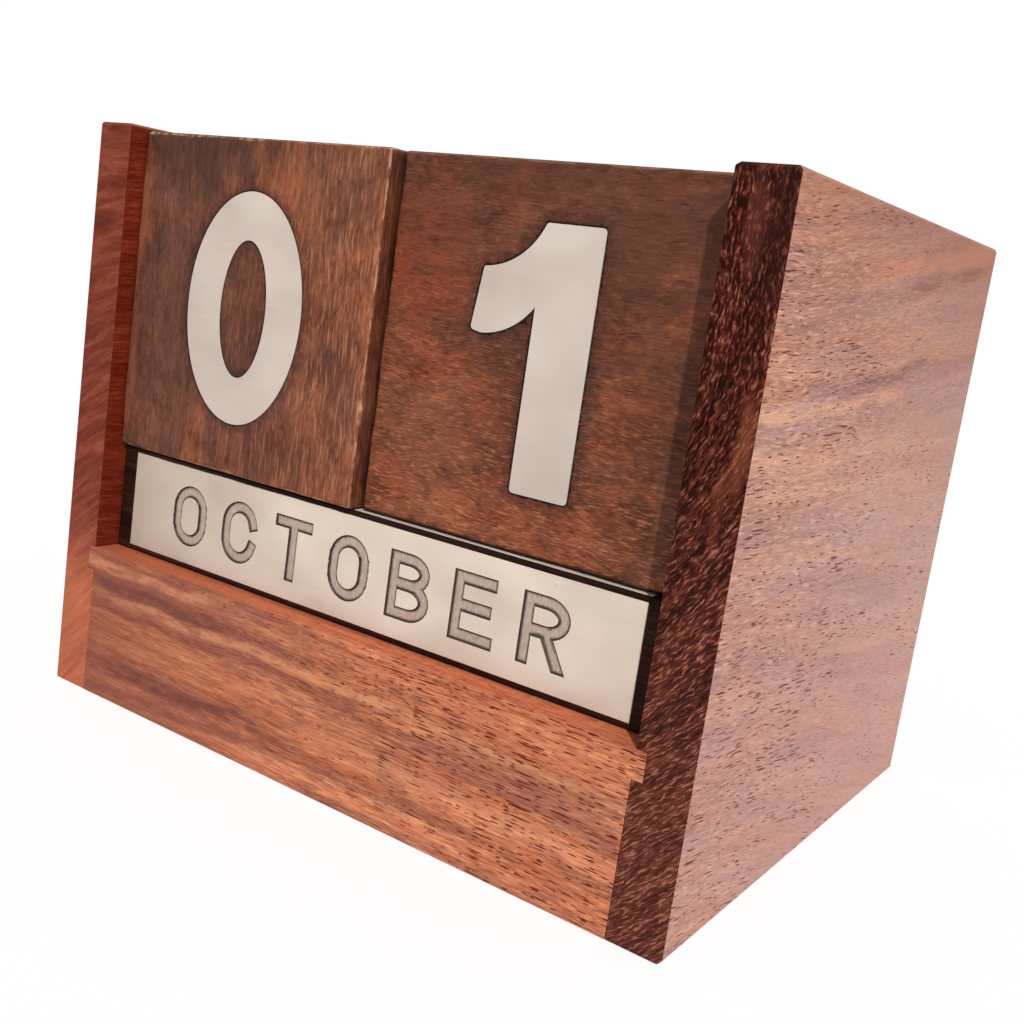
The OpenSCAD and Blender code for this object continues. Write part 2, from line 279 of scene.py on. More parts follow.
# Darker red tones; on the panels' inner faces they are painted shade.
INNER_WARM = [(70, 18, 8), (92, 28, 14), (114, 42, 24), (140, 62, 38)]
INNER_COOL = [(62, 20, 12), (82, 28, 18), (100, 38, 26), (120, 54, 38)]
BAR_WARM = [(20, 8, 5), (36, 16, 11), (54, 27, 19), (80, 44, 32)]
BAR_COOL = [(14, 7, 6), (26, 14, 11), (38, 22, 17), (54, 34, 28)]
PORE_TONE = (62, 16, 8)
PANEL_PORES = (106, 36, 20)
RAIL_PORES = (88, 20, 4)
GREY_TONE = (150, 110, 101)
RAIL_DARK = (100, 56, 48)
DEEP_TONE = (26, 10, 7)
# Looks of the date blocks. glow is the share of warm tone gained per mm to the right and downwards,
# spots are seen from the block's middle, worn is the share of bare wood on the edges, painted_side_shade
# how far the sides facing X are darkened as painted shade, and seam_and_crevice_shade how dark the
# line round each digit is, partly a stained rim and partly painted shade of its gap, and how dark the
# painted shade in crevices is.
LEFT_BLOCK = {
    "warm": [(76, 38, 24), (102, 54, 36), (126, 72, 48), (146, 90, 62), (170, 114, 84)],
    "cool": [(56, 32, 24), (76, 44, 34), (94, 56, 44), (112, 68, 52), (132, 86, 66)],
    "glow": (0.0032, 0.0004),
    "fleck_tone": (178, 118, 84),
    "fleck_size": (4.6, 0.34),
    "spots": [
        ((-14, 25), (17, 9), 0.75, (66, 40, 31)),
        ((-14, -6), (12, 16), 0.4, (84, 50, 38)),
        ((1, 0), (6, 12), 0.5, (78, 46, 35)),
        ((12, -22), (8, 5), 0.5, (72, 44, 34)),
        ((-26.5, 14), (2.6, 11), 0.45, (148, 88, 62)),
        ((-26.5, -14), (2.2, 11), 0.35, (144, 84, 60)),
        ((9, 21), (7, 7), 0.3, (146, 84, 54)),
        ((20, 23), (10, 9), 0.6, (98, 62, 48)),
    ],
    "worn": 0.6,
    "painted_side_shade": 0.5,
    "seam_and_crevice_shade": 0.45,
}
RIGHT_BLOCK = {
    "warm": [(75, 33, 18), (99, 48, 29), (121, 64, 42), (142, 83, 57), (167, 109, 77)],
    "cool": [(58, 31, 23), (78, 43, 32), (95, 55, 40), (111, 67, 48), (130, 84, 61)],
    "glow": (-0.0004, 0.0022),
    "fleck_tone": (186, 116, 78),
    "fleck_size": (1.8, 0.24),
    "spots": [
        ((18, 19), (15, 10), 0.6, (84, 52, 38)),
        ((-4, 25), (16, 4), 0.55, (76, 46, 34)),
        ((-21, 12), (8, 12), 0.5, (122, 56, 36)),
        ((-3, -4), (5, 16), 0.45, (74, 44, 32)),
        ((-16, -16), (14, 10), 0.35, (150, 86, 58)),
        ((21, -3), (7, 17), 0.35, (78, 44, 30)),
    ],
    "worn": 0.2,
    "painted_side_shade": 0.2,
    "seam_and_crevice_shade": 0.85,
}

# Bands across a face, each (start, end, width, share, tone), where start and end are
# (distance along the face, height).
RIGHT_STREAKS = [
    ((-62, 80), (-8, 88.5), 3.4, 0.75, GREY_TONE),
    ((-26, 75.2), (24, 79.6), 2.8, 0.95, (128, 92, 82)),
    ((18, 78.8), (60, 82), 3.4, 0.6, GREY_TONE),
    ((-8, 88.5), (50, 97.5), 3.8, 0.9, (124, 84, 74)),
    ((-60, 56.5), (-8, 60), 2.6, 0.7, GREY_TONE),
    ((-10, 47.5), (34, 38), 4.2, 0.75, (144, 108, 98)),
    ((-52, 41), (4, 36), 3.4, 0.5, (158, 116, 108)),
    ((-2, 72), (58, 69), 8, 0.5, (166, 132, 118)),
    ((-50, 22), (0, 19), 3, 0.5, GREY_TONE),
    ((-62, 71.4), (14, 75.4), 2.8, 0.6, (224, 162, 124)),
    ((-60, 67), (-16, 66), 3.4, 0.5, (220, 160, 126)),
    ((-24, 91), (60, 101), 3.6, 0.75, (210, 138, 102)),
]
LEFT_STREAKS = [
    ((-58, 30), (10, 26), 4, 0.7, GREY_TONE),
    ((-20, 52), (56, 60), 3.6, 0.7, GREY_TONE),
    ((-60, 78), (30, 84), 3.4, 0.7, (140, 102, 92)),
    ((-50, 64), (20, 66), 3, 0.7, (222, 158, 120)),
]
RAIL_STREAKS = [
    ((-66, 22), (-14, 21), 3, 0.8, RAIL_DARK),
    ((-64, 17.2), (-18, 16.8), 1.5, 0.8, (118, 64, 50)),
    ((-14, 18), (20, 15), 2.4, 0.6, (124, 70, 54)),
    ((-66, 6.4), (0, 7), 3.4, 0.85, RAIL_DARK),
    ((-60, 2.4), (-8, 3.4), 1.8, 0.6, (116, 64, 52)),
    ((0, 7), (50, 4), 2, 0.6, (124, 70, 54)),
    ((20, 13), (64, 14.5), 2.6, 0.5, (150, 86, 70)),
    ((-66, 24.8), (-20, 25), 2.4, 0.6, (200, 132, 98)),
    ((-60, 19.4), (64, 18.6), 2, 0.6, (204, 138, 100)),
    ((-10, 10.6), (60, 9.4), 2.6, 0.5, (202, 136, 100)),
]


def timber(wood, warm, cool, bands=(150, 6), streaks=(50, 1.5), fibres=(2.6, 0.2),
           shares=(0.42, 0.3, 0.28), contrast=0.3, patches=(70, 7)):
    """Long grain of bands, streaks and fibres, warm in some patches and greyer in others.

    Sets the colour. Gives the level that it was made from, and the fibres."""
    broad = wood.grain(*bands, 0, 3, 0.6, 0.3)
    narrow = wood.grain(*streaks, 3, 3, 0.6, 0.2)
    fine = wood.grain(*fibres, 7, 2, 0.6)
    level = wood.blend_of((broad, narrow, fine), shares)
    level = wood.spread(level, 0.5 - contrast / 2, 0.5 + contrast / 2)
    patch = wood.grain(*patches, 21, 4, 0.6, 0.4)
    speckle = wood.grain(3.2, 0.35, 23, 2, 0.6)
    patch = wood.spread(wood.blend_of((patch, speckle), (0.66, 0.34)), 0.44, 0.55)
    wood.colour = wood.mix(patch, wood.ramp(level, warm), wood.ramp(level, cool))
    return level, fine


def pores(wood, sizes, radius=0.24, spare=0.25, thin=None):
    """Mask of pores that are cut open lengthwise, in one layer for each size.

    thin, if given, is a value from 0 to 1 that makes them fewer where it is low."""
    layers = []
    for i, (along, across) in enumerate(sizes):
        place = wood.stretched(along, across, seed=11 + 5 * i)
        layers.append(wood.dashes(place, radius, spare, thin))
    return wood.largest(*layers)


def flecks(wood, along=3.2, across=0.32):
    """Mask of short pale flecks between the pores."""
    return wood.spread(wood.grain(along, across, 31, 1), 0.54, 0.72)


def placed_streaks(wood, along, z, streaks, clumps=(9, 0.8)):
    """Tints soft ragged bands at their places."""
    wander = wood.spread(wood.grain(26, 26, 51), 0, 1, -3 * MM, 3 * MM)
    ragged = wood.spread(wood.grain(*clumps, 53, 4, 0.7), 0.42, 0.54)
    ragged = wood.spread(ragged, 0, 1, 0.35, 1)
    z = wood.plus(z, wander)
    for start, end, width, share, tone in streaks:
        ends = (start[0] * MM, end[0] * MM)
        line = wood.spread(along, *ends, start[1] * MM, end[1] * MM)
        off = wood.maths("ABSOLUTE", wood.minus(z, line))
        body = wood.zone(off, width * 0.55, width * 0.2)
        from_middle = wood.maths("ABSOLUTE", wood.spread(along, *ends, -1, 1))
        body = wood.times(body, wood.spread(from_middle, 1, 0.6))
        wood.tint(wood.times(body, ragged), share, tone)


def wood_surface(wood, level, fine, holes, depth=0.12, gloss=0.14):
    """Lacquered wood, with the pores as holes."""
    wood.drive("Specular IOR Level", gloss)
    height = wood.minus(wood.times(fine, 0.6), holes)
    return wood.finished(wood.spread(level, 0, 1, 0.52, 0.4), height, 0.5, depth)


def end_grain(wood):
    """Wavy broken pale strands on dark wood, which turn upright towards the top.

    Sets the colour and gives the relief."""
    x, y, z = wood.parts(wood.place)
    low = wood.maths("MINIMUM", z, END_BEND_TOP * MM)
    bend = wood.times(wood.maths("POWER", low, 3), END_BEND)
    across = wood.plus(wood.minus(x, low), bend)
    wave = wood.grain(1.2, 1.2, 61, 1)
    across = wood.plus(across, wood.spread(wave, 0.2, 0.8, -0.24 * MM, 0.24 * MM))
    flow = wood.joined(across, y, z)
    strands = wood.spread(wood.edge_grain(flow, 0.34, 1.5, 0.3, 1, 0.5, 0.3), 0.42, 0.64)
    beads = wood.spread(wood.edge_grain(flow, 0.45, 0.8, 0.7, 1), 0.38, 0.6, 0.4, 1)
    lines = wood.times(strands, beads)
    grit = wood.edge_grain(flow, 0.25, 0.4, 0, 1)
    broad = wood.edge_grain(flow, 2.2, 24, 0, 3, 0.6, 0.4)
    level = wood.blend_of((lines, grit, broad), (0.4, 0.14, 0.52))
    foot = wood.zone(z, 70, 15)
    level = wood.plus(wood.spread(level, 0.22, 0.79), wood.times(foot, 0.18))
    wood.colour = wood.ramp(level, END_TONES)
    streak = wood.spread(wood.edge_grain(flow, 1.5, 22, 0.5, 3, 0.6, 0.3), 0.6, 0.74)
    wood.tint(streak, 0.5, END_WARM)
    wood.tint(foot, 0.04, END_PALE)
    wood.tint_spots(x, z, EDGE_SPOTS)
    return wood.blend_of((lines, grit), (0.7, 0.3))


def edge_streaks(wood):
    """Soft slanting streaks, paler towards the foot. Sets the colour and gives the relief."""
    x, y, z = wood.parts(wood.place)
    lean = wood.zone(z, 90, 30, 0.12, 0.85)
    aside = wood.plus(x, LEFT_EDGE_MIDDLE * MM)
    flow = wood.joined(x, y, wood.minus(z, wood.times(aside, lean)))
    broad = wood.edge_grain(flow, 11, 2, 0, 4, 0.62, 0.7)
    fine = wood.edge_grain(flow, 1.6, 0.2)
    level = wood.spread(wood.blend_of((broad, fine), (0.72, 0.28)), 0.34, 0.66)
    foot = wood.spread(z, 0.036, 0.018, soft=True)
    level = wood.times(level, wood.spread(foot, 0, 1, 0.6, 0.25))
    level = wood.plus(level, wood.times(foot, 0.68))
    wood.colour = wood.ramp(level, LEFT_EDGE_TONES)
    return fine


def panel_figure(wood, depth, height, front, streaks):
    """Long grain of a side panel, warmer towards the front, with painted sheen greying its back and foot,
    darker towards the top.
    """
    level, fine = timber(wood, PANEL_WARM, PANEL_COOL, bands=(60, 5), fibres=(3.4, 0.2),
                         shares=(0.24, 0.26, 0.5), patches=(40, 5))
    # Painted sheen: paler grey towards the back.
    wood.tint(wood.zone(depth, -50, 30), 0.42, (182, 144, 132))
    placed_streaks(wood, depth, height, streaks)
    wood.tint(wood.times(flecks(wood), front), 0.65, (228, 176, 146))
    # Painted sheen: paler and greyer towards the foot.
    wood.tint(wood.zone(height, 80, 62), 0.15, (186, 160, 150))
    wood.tint(wood.zone(height, 66, 30), 0.3, (180, 132, 127))
    rise = wood.plus(height, wood.times(depth, 0.2))
    wood.tint(wood.zone(rise, 60, 108), 0.5, (138, 84, 62))
    wood.tint(wood.zone(height, 93, 102), 0.4, (138, 80, 58))
    return level, fine


def panel_pores(wood, height, front):
    """Pores in clumps, more of them towards the front and fewer towards the top."""
    crowd = wood.plus(wood.grain(30, 6, 27), wood.times(front, 0.2))
    crowd = wood.plus(crowd, wood.zone(height, 95, 60, -0.1, 0.06))
    thin = wood.spread(crowd, 0.3, 0.75, 0.64, 0.98)
    return pores(wood, ((6, 0.28), (3.6, 0.26), (2.2, 0.26)), 0.4, 0.6, thin)


def panel_finish(name, side, draw_edge, streaks, seed):
    """Side panel with long grain, edges at its front and back that are drawn apart, and painted shade on
    its inner face.
    """
    wood = Finish(name, "y", seed)
    relief = draw_edge(wood)
    edge = wood.colour
    inner_shade = wood.faces("x", way=-side)
    is_end = wood.faces("y", low=0.2, high=0.45)
    x, depth, height = wood.parts(wood.place)
    front = wood.zone(depth, 30, -40)
    wood.fan(3.2, 62)
    wood.ripple(0.8, 22)
    level, fine = panel_figure(wood, depth, height, front, streaks)
    holes = panel_pores(wood, height, front)
    wood.tint(holes, 1, PANEL_PORES)
    # Painted shade: faces turned inwards take darker red tones.
    wood.colour = wood.mix(inner_shade, wood.colour, wood.ramp(level, INNER_WARM))
    wood.colour = wood.mix(is_end, wood.colour, edge)
    fine = wood.mix(is_end, fine, relief)
    return wood_surface(wood, level, fine, holes, gloss=0.05)


def rail_finish():
    """Front rail: long grain towards the right, with more and longer pores there."""
    wood = Finish("rail_wood", "x", 5)
    x, y, z = wood.parts(wood.place)
    wood.ripple(0.35, 18)
    level, fine = timber(wood, RAIL_WARM, RAIL_COOL, bands=(60, 3), streaks=(24, 0.8),
                         fibres=(3, 0.2), shares=(0.26, 0.28, 0.46), contrast=0.32, patches=(40, 4))
    wood.tint(wood.zone(x, 10, -60), 0.75, (124, 70, 54))
    placed_streaks(wood, x, z, RAIL_STREAKS, (5, 1.3))
    pale = wood.times(flecks(wood, 2.2, 0.22), wood.zone(x, -30, 50))
    wood.tint(pale, 0.3, (224, 160, 118))
    thin = wood.zone(wood.plus(x, wood.times(z, 1.2)), -40, 50, 0.5, 1)
    holes = pores(wood, ((6, 0.34), (2.6, 0.31), (1.6, 0.29)), 0.4, 0.48, thin)
    wood.tint(holes, 0.95, RAIL_PORES)
    # Painted light: faces turned upwards are tinted a brighter orange.
    wood.tint(wood.faces("z", way=1), 0.35, (210, 106, 68))
    return wood_surface(wood, level, fine, holes, gloss=0.06)


def board_finish(name, warm, cool, seed):
    """One of the boards that show little, with its grain across."""
    wood = Finish(name, "x", seed)
    wood.ripple(0.7, 22)
    level, fine = timber(wood, warm, cool)
    holes = pores(wood, ((6, 0.62), (3, 0.42)), thin=0.9)
    wood.tint(holes, 0.8, PORE_TONE)
    return wood_surface(wood, level, fine, holes)


def block_figure(wood, look, lit):
    """Blotched figure of a date block, warm where it is lit and cooler elsewhere."""
    blotch = wood.grain(11, 8, 2, 5, 0.65, 0.4)
    narrow = wood.grain(12, 0.9, 3, 3, 0.6)
    fine = wood.grain(1.5, 0.17, 7, 3, 0.7)
    level = wood.blend_of((blotch, narrow, fine), (0.38, 0.2, 0.42))
    level = wood.spread(level, 0.37, 0.65)
    patch = wood.grain(16, 9, 21, 5, 0.6, 0.6)
    patch = wood.spread(wood.minus(patch, lit), 0.42, 0.56)
    wood.colour = wood.mix(patch, wood.ramp(level, look["warm"]), wood.ramp(level, look["cool"]))
    return level, fine


def bare_edges(wood):
    """Mask of the rounded edges where the stain has worn off."""
    widest = wood.largest(*[wood.maths("ABSOLUTE", way) for way in wood.parts(wood.normal)])
    bare = wood.grain(3, 1.1, 47, 4, 0.65)
    return wood.times(wood.spread(bare, 0.44, 0.58), wood.spread(widest, 0.88, 0.74))


def digit_seams_and_shade(wood, seam_and_crevice_shade):
    """Tints a stain round each digit, a ragged seam line and painted crevice shade. Gives that line."""
    rim = wood.node("Attribute", attribute_name="rim").outputs["Fac"]
    wander = wood.grain(0.9, 0.9, 41, 3, 0.6)
    edge_dark = wood.minus(rim, wood.spread(wander, 0.3, 0.7, 0, 1.6 * MM))
    wood.tint(wood.zone(edge_dark, 1.2, -0.6), 0.55, (50, 28, 22))
    crumb = wood.grain(0.45, 0.45, 43)
    # Ragged dark line in each digit's seam: partly a chipped, stained rim and partly painted shade of the
    # gap.
    line = wood.minus(rim, wood.spread(crumb, 0.42, 0.7, 0.05 * MM, 0.42 * MM))
    gap = wood.zone(line, 0.06, -0.02)
    wood.tint(gap, seam_and_crevice_shade, (14, 8, 7))
    # Painted shade: darkens the wood within 1.6 mm of other surfaces, in gaps and corners.
    wood.tint(wood.crevice(1.6), seam_and_crevice_shade, (10, 5, 4))
    return gap


def block_finish(name, node, grain, look, seed):
    """Date block: stained, blotched wood, darkest round its inlaid digits, with painted shade on sides
    and crevices.
    """
    wood = Finish(name, grain, seed)
    middle = (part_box(node)[0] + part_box(node)[1]) / 2
    x, y, z = wood.parts(wood.place)
    x = wood.minus(x, middle.x)
    z = wood.minus(z, middle.z)
    lit = wood.blend_of((x, z), (look["glow"][0] / MM, -look["glow"][1] / MM))
    wood.ripple(0.8, 9)
    level, fine = block_figure(wood, look, lit)
    wood.tint_spots(x, z, look["spots"])
    smudge = wood.grain(4.5, 2, 33, 6, 0.75)
    wood.tint(wood.spread(smudge, 0.52, 0.62), 0.45, (50, 29, 22))
    in_light = wood.spread(lit, -0.02, 0.06, 0.15, 1)
    pale = wood.times(flecks(wood, *look["fleck_size"]), in_light)
    wood.tint(pale, 0.6, look["fleck_tone"])
    holes = pores(wood, ((3.2, 0.34),), 0.3, 0.55)
    wood.tint(holes, 0.45, DEEP_TONE)
    # Painted shade: the sides facing X are darkened.
    wood.tint(wood.faces("x"), look["painted_side_shade"], (44, 20, 14))
    wood.tint(bare_edges(wood), look["worn"], (198, 154, 122))
    holes = wood.largest(holes, digit_seams_and_shade(wood, look["seam_and_crevice_shade"]))
    return wood_surface(wood, level, fine, holes, depth=0.1, gloss=0.1)


def bar_finish():
    """Near-black wood of the month bars."""
    wood = Finish("bar_wood", "x", 9)
    level, fine = timber(wood, BAR_WARM, BAR_COOL, streaks=(40, 0.5))
    holes = pores(wood, ((4, 0.4),))
    return wood_surface(wood, level, fine, holes, depth=0.06, gloss=0.06)


# ------ metal

DIGIT_TONES = [(184, 168, 157), (193, 178, 167), (201, 187, 176)]
PLATE_TONES = [(194, 176, 159), (206, 190, 174), (215, 199, 184)]
FLOOR_TONES = [(164, 142, 129), (178, 156, 142), (192, 170, 155)]
WALL_TONES = [(38, 28, 24), (66, 50, 43), (96, 78, 68)]


def metal_finish(name, tones, seed, left_shade=0):
    """Satin champagne metal with fine brushing, a few specks, and painted shade towards the left."""
    metal = Finish(name, "x", seed, Metallic=0.25, Specular_IOR_Level=0.3)
    brush = metal.grain(14, 0.12)
    cloud = metal.grain(16, 12, 4)
    level = metal.spread(metal.blend_of((brush, cloud), (0.25, 0.75)), 0.35, 0.65)
    metal.colour = metal.ramp(level, tones)
    specks = metal.dashes(metal.stretched(3.2, 3.2, seed=8), 0.05, 0.7)
    metal.tint(specks, 0.6, (120, 96, 82))
    # Painted shade: a duller tone towards the left end.
    left = metal.zone(metal.parts(metal.place)[0], -12, -50)
    metal.tint(left, left_shade, (156, 134, 118))
    return metal.finished(metal.spread(brush, 0.35, 0.65, 0.66, 0.74), brush, 0.25, 0.02)


def engraving_finish(name, tones, seed):
    """Matt metal of the letters, darker near their walls."""
    metal = Finish(name, "z", seed, Metallic=0.6)
    hatch = metal.grain(1.2, 0.3)
    level = metal.spread(hatch, 0.25, 0.75)
    edge_dark = metal.node("Attribute", attribute_name="edge_dark").outputs["Fac"]
    ragged = metal.grain(0.5, 0.4, 3, 3, 0.6)
    edge_dark = metal.spread(metal.plus(edge_dark, ragged), 0.75, 1.6)
    metal.colour = metal.ramp(level, tones)
    metal.tint(edge_dark, 0.85, (52, 38, 33))
    return metal.finished(metal.spread(level, 0, 1, 0.6, 0.5), hatch, 0.4, 0.03)


# ------ meshes


def anticlockwise(loop):
    area = sum(a[0] * b[1] - b[0] * a[1] for a, b in zip(loop, loop[1:] + loop[:1]))
    return loop if area > 0 else loop[::-1]


def filled(outlines, tolerance, others=()):
    """Triangles over some anticlockwise outlines and other points, all in mm.

    Gives the points, the triangles, and for each triangle the outlines that it lies in."""
    points = [p for outline in outlines for p in outline] + list(others)
    loops, start = [], 0
    for outline in outlines:
        loops.append(list(range(start, start + len(outline))))
        start += len(outline)
    made = delaunay_2d_cdt(points, [], loops, 1, tolerance, True)
    return made[0], made[2], made[5]


def mesh_data(mesh, name):
    data = bpy.data.meshes.new(name)
    mesh.to_mesh(data)
    mesh.free()
    return data


def in_scene(name, data):
    made = bpy.data.objects.new(name, data)
    bpy.context.scene.collection.objects.link(made)
    return made


# ------ engraved plates

MONTHS = ["OCTOBER", "NOVEMBER", "DECEMBER", "1", "FEBRUARY", "MARCH", "APRIL", "MAY", "JUNE", "JULY",
          "AUGUST", "SEPTEMBER"]
BAR_NAMES = ["front_month_bar", "middle_month_bar", "rear_month_bar"]
BAR_BODIES = ["front_bar", "middle_bar", "rear_bar"]
BAR_TURNS = [0, -90, 180, 90]
LETTER_H = 10.6
LETTER_W = 8.2
LETTER_STROKE = 2.0
LETTER_PITCH = 12.2
MOST_LETTERS = 7.6  # longer words are squeezed to the width of so many
NARROW = {"1": 0.55, "J": 0.85, "M": 1.12}  # widths that differ, as shares of LETTER_W
ARC_STEP = 15
MITRE_LIMIT = 0.3  # keeps the mitre of a sharp corner short
CORNER_REACH = 0.6  # how near a stroke's end is to an edge, in strokes
ENGRAVED_DEPTH = 0.24
ENGRAVED_RIM = 0.26  # width of the letters' sloping walls
DARK_BAND_WIDTH = 0.42
PLATE_EASE = 0.08
PLATE_POINT = 1e-4  # points of a plate nearer than this are one
STRAIGHT = 1e-9  # turns smaller than this count as none
SLANT = 0.01  # steps smaller than this, in a letter's box, don't make a stroke slant
FLOOR_FACE = 1
WALL_FACE = 2


def hull(points):
    """Anticlockwise convex outline round a few points."""
    ordered = sorted(points, key=lambda p: (p.x, p.y))
    outline = []
    for row in (ordered, ordered[::-1]):
        chain = []
        for p in row:
            while len(chain) > 1 and (chain[-1] - chain[-2]).cross(p - chain[-1]) < STRAIGHT:
                chain.pop()
            chain.append(p)
        outline += chain[:-1]
    return outline


def bend(y, ry, start, end, x=0.5, rx=0.5):
    """Points of an elliptical arc in a letter's own box."""
    count = max(2, round(abs(end - start) / ARC_STEP))
    angles = [math.radians(start + (end - start) * i / count) for i in range(count + 1)]
    return [(x + rx * math.cos(a), y + ry * math.sin(a)) for a in angles]


# The strokes of each letter, in a box that is 1 wide and 1 high.
STEM = [(0, 0), (0, 1)]
FAR_STEM = [(1, 0), (1, 1)]
LETTERS = {
    "A": [[(0, 0), (0.5, 1), (1, 0)], [(0.21, 0.29), (0.79, 0.29)]],
    "B": [STEM, [(0, 1), *bend(0.77, 0.23, 90, -90, rx=0.44), (0, 0.54)],
          [(0, 0.54), *bend(0.27, 0.27, 90, -90), (0, 0)]],
    "C": [[*bend(0.64, 0.36, 12, 180), *bend(0.36, 0.36, 180, 348)]],
    "D": [STEM, [(0, 1), *bend(0.6, 0.4, 90, 0, 0.4, 0.6), *bend(0.4, 0.4, 0, -90, 0.4, 0.6), (0, 0)]],
    "E": [STEM, [(0, 1), (0.92, 1)], [(0, 0.52), (0.84, 0.52)], [(0, 0), (0.96, 0)]],
    "F": [STEM, [(0, 1), (0.92, 1)], [(0, 0.5), (0.82, 0.5)]],
    "G": [[*bend(0.64, 0.36, 15, 180), *bend(0.36, 0.36, 180, 345), (1, 0.45), (0.56, 0.45)]],
    "H": [STEM, FAR_STEM, [(0, 0.53), (1, 0.53)]],
    "I": [STEM],
    "J": [[(1, 1), *bend(0.34, 0.34, 0, -175)]],
    "L": [STEM, [(0, 0), (0.9, 0)]],
    "M": [STEM, FAR_STEM, [(0, 1), (0.5, 0.2), (1, 1)]],
    "N": [STEM, FAR_STEM, [(0, 1), (1, 0)]],
    "O": [bend(0.64, 0.36, 0, 180), bend(0.36, 0.36, 180, 360),
          [(0, 0.36), (0, 0.64)], [(1, 0.36), (1, 0.64)]],
    "P": [STEM, [(0, 1), *bend(0.74, 0.26, 90, -90), (0, 0.48)]],
    "R": [STEM, [(0, 1), *bend(0.75, 0.25, 90, -90, rx=0.48), (0, 0.5)], [(0.58, 0.43), (1, 0)]],
    "S": [[*bend(0.755, 0.245, 15, 270, rx=0.47), *bend(0.255, 0.255, 90, -165)]],
    "T": [[(0, 1), (1, 1)], [(0.5, 0), (0.5, 1)]],
    "U": [[(0, 1), *bend(0.36, 0.36, 180, 360), (1, 1)]],
    "V": [[(0, 1), (0.5, 0), (1, 1)]],
    "Y": [[(0, 1), (0.5, 0.42), (1, 1)], [(0.5, 0), (0.5, 0.42)]],
    "1": [[(0.5, 0), (0.5, 1)], [(0, 0.72), (0.5, 1)]],
}


def is_slanted(stroke):
    """Whether a stroke is a straight or once-bent one that slants."""
    steps = [(abs(a[0] - b[0]), abs(a[1] - b[1])) for a, b in zip(stroke, stroke[1:])]
    return len(stroke) < 4 and any(min(step) > SLANT for step in steps)


def mitre(path, i):
    """Sideways offset at point i of a path, for a stroke whose half width is 1."""
    before = (path[i] - path[max(i - 1, 0)]).normalized()
    after = (path[min(i + 1, len(path) - 1)] - path[i]).normalized()
    way = (before + after).normalized()
    side = Vector((-way.y, way.x))
    reach = Vector((-after.y, after.x)) if after.length else Vector((-before.y, before.x))
    return side / max(MITRE_LIMIT, side.dot(reach))


def clipped(points, low, high):
    """The part of a convex outline between two heights."""
    for limit, sign in ((low, 1), (high, -1)):
        kept = []
        for a, b in zip(points, points[1:] + points[:1]):
            inside_a = (a.y - limit) * sign >= 0
            inside_b = (b.y - limit) * sign >= 0
            if inside_a:
                kept.append(a)
            if inside_a != inside_b:
                kept.append(a.lerp(b, (limit - a.y) / (b.y - a.y)))
        points = kept
    return points


def stroke_pieces(path, inset, slanted):
    """Convex pieces of one stroke, narrowed all round by an inset.

    A slanted stroke reaches past the letter's top and foot, where it is cut off level later."""
    half = LETTER_STROKE / 2 - inset
    path = list(path)
    near = LETTER_STROKE * CORNER_REACH
    for end, beside in ((0, 1), (-1, -2)):
        at_edge = not near <= path[end].y <= LETTER_H - near
        reach = LETTER_STROKE if slanted and at_edge else half
        path[end] = path[end] + (path[end] - path[beside]).normalized() * reach
    sides = [mitre(path, i) * half for i in range(len(path))]
    made = []
    for a, b, side_a, side_b in zip(path, path[1:], sides, sides[1:]):
        made.append(hull([a - side_a, b - side_b, b + side_b, a + side_a]))
    return made


def letter_width(letter, squeeze):
    if letter == "I":
        return LETTER_STROKE
    return LETTER_W * NARROW.get(letter, 1.0) * squeeze


def glyph(letter, left, inset, squeeze):
    """Convex pieces that make up one letter, its box starting at left."""
    width = letter_width(letter, squeeze) - LETTER_STROKE
    half = LETTER_STROKE / 2
    pieces = []
    for stroke in LETTERS[letter]:
        slanted = is_slanted(stroke)
        rise = LETTER_H if slanted else LETTER_H - LETTER_STROKE
        foot = 0 if slanted else half
        path = [Vector((left + half + x * width, foot + y * rise)) for x, y in stroke]
        pieces += stroke_pieces(path, inset, slanted)
    cut = [clipped(p, inset, LETTER_H - inset) for p in pieces]
    return [p for p in cut if len(p) > 2]


def word(text, inset):
    """Pieces of a whole word, its middle at the origin."""
    squeeze = min(1.0, MOST_LETTERS / len(text))
    widths = [letter_width(c, squeeze) for c in text]
    space = (LETTER_PITCH - LETTER_W) * squeeze
    left = -(sum(widths) + space * (len(text) - 1)) / 2
    pieces = []
    for letter, width in zip(text, widths):
        pieces += glyph(letter, left, inset, squeeze)
        left += width + space
    return [[p - Vector((0, LETTER_H / 2)) for p in piece] for piece in pieces]


def covered(point, pieces):
    """Whether a point lies in one of some convex anticlockwise pieces."""
    return any(all((b - a).cross(point - a) >= 0 for a, b in zip(p, p[1:] + p[:1])) for p in pieces)


def rectangle(length, height):
    x, y = length / 2, height / 2
    return [Vector(p) for p in ((-x, -y), (x, -y), (x, y), (-x, y))]


def close_back(mesh, depth):
    """Gives an open front its sides and its back."""
    rim = [e for e in mesh.edges if e.is_boundary]
    wall = bmesh.ops.extrude_edge_only(mesh, edges=rim)
    for part in wall["geom"]:
        if isinstance(part, bmesh.types.BMVert):
            part.co.y = depth
    bmesh.ops.contextual_create(mesh, geom=[e for e in mesh.edges if e.is_boundary])
    bmesh.ops.recalc_face_normals(mesh, faces=mesh.faces)


